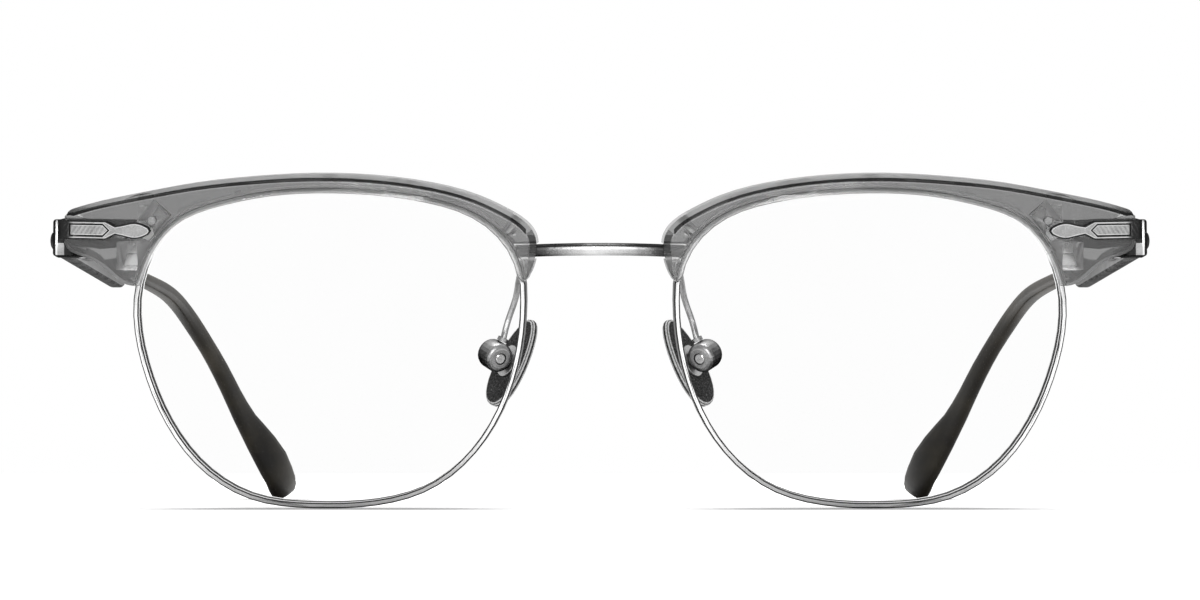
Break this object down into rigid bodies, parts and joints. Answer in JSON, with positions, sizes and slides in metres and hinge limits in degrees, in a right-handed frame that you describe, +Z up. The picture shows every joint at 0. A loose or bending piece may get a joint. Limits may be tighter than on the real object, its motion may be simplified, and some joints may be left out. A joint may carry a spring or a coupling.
{
  "type": "eyeglass frame",
  "caption": "Combination eyeglass frame: acetate brows on thin metal eyewires, an arched bridge, rocking nose pads, and temples that fold on pin hinges.",
  "frame": {"origin": "centre of the base of the bounding box, on the table the open frame stands on", "axes": "+X to the wearer's left, +Y from the face of the frame back to the temple tips, +Z up"},
  "size_m": [0.1462, 0.1492, 0.0438],
  "materials": {
    "antique_silver": "darkened silver plate, semi-bright",
    "screw_steel": "bright turned steel",
    "grey_acetate": "polished translucent grey acetate",
    "dark_tortoise": "polished dark tortoise acetate",
    "dark_pad": "dark, finely grained",
    "clear_lens": "clear demonstration lens"
  },
  "bodies": {
    "front": {"left_rim": "antique_silver", "right_rim": "antique_silver", "left_lens": "clear_lens", "right_lens": "clear_lens", "left_closing_block_upper": "antique_silver", "right_closing_block_upper": "antique_silver", "left_closing_block_lower": "antique_silver", "right_closing_block_lower": "antique_silver", "left_closing_screw": "screw_steel", "right_closing_screw": "screw_steel", "left_brow": "grey_acetate", "right_brow": "grey_acetate", "left_brow_lug": "antique_silver", "right_brow_lug": "antique_silver", "left_brow_screw": "screw_steel", "right_brow_screw": "screw_steel", "left_nasal_lug": "antique_silver", "right_nasal_lug": "antique_silver", "left_front_plaque": "antique_silver", "right_front_plaque": "antique_silver", "left_plaque_rivet_inner": "screw_steel", "right_plaque_rivet_inner": "screw_steel", "left_plaque_rivet_outer": "screw_steel", "right_plaque_rivet_outer": "screw_steel", "left_end_piece": "antique_silver", "right_end_piece": "antique_silver", "left_end_stud": "antique_silver", "right_end_stud": "antique_silver", "left_hinge_screw": "screw_steel", "right_hinge_screw": "screw_steel", "left_pad_arm": "antique_silver", "right_pad_arm": "antique_silver", "left_pad_box": "antique_silver", "right_pad_box": "antique_silver", "left_pad_screw": "screw_steel", "right_pad_screw": "screw_steel", "bridge": "antique_silver"},
    "left_temple": {"left_hinge_leaf": "antique_silver", "left_temple_blade": "antique_silver", "left_temple_core": "antique_silver", "left_temple_tip": "dark_tortoise"},
    "right_temple": {"right_hinge_leaf": "antique_silver", "right_temple_blade": "antique_silver", "right_temple_core": "antique_silver", "right_temple_tip": "dark_tortoise"},
    "left_pad": {"left_pad_plate": "antique_silver", "left_nose_pad": "dark_pad"},
    "right_pad": {"right_pad_plate": "antique_silver", "right_nose_pad": "dark_pad"}
  },
  "joints": [
    {"name": "left_temple_fold", "type": "hinge", "parent": "front", "child": "left_temple", "pos_m": [0.0693, -0.05825, 0.0357], "axis": [0, 0.0336, 0.9994], "range_deg": [0, 84]},
    {"name": "right_temple_fold", "type": "hinge", "parent": "front", "child": "right_temple", "pos_m": [-0.0693, -0.05825, 0.0357], "axis": [0, -0.0336, -0.9994], "range_deg": [0, 76]},
    {"name": "left_pad_rock", "type": "hinge", "parent": "front", "child": "left_pad", "pos_m": [0.01394, -0.06197, 0.02022], "axis": [0.5124, 0.7887, 0.3396], "range_deg": [-8, 8]},
    {"name": "right_pad_rock", "type": "hinge", "parent": "front", "child": "right_pad", "pos_m": [-0.01394, -0.06197, 0.02022], "axis": [0.5124, -0.7887, -0.3396], "range_deg": [-8, 8]}
  ]
}
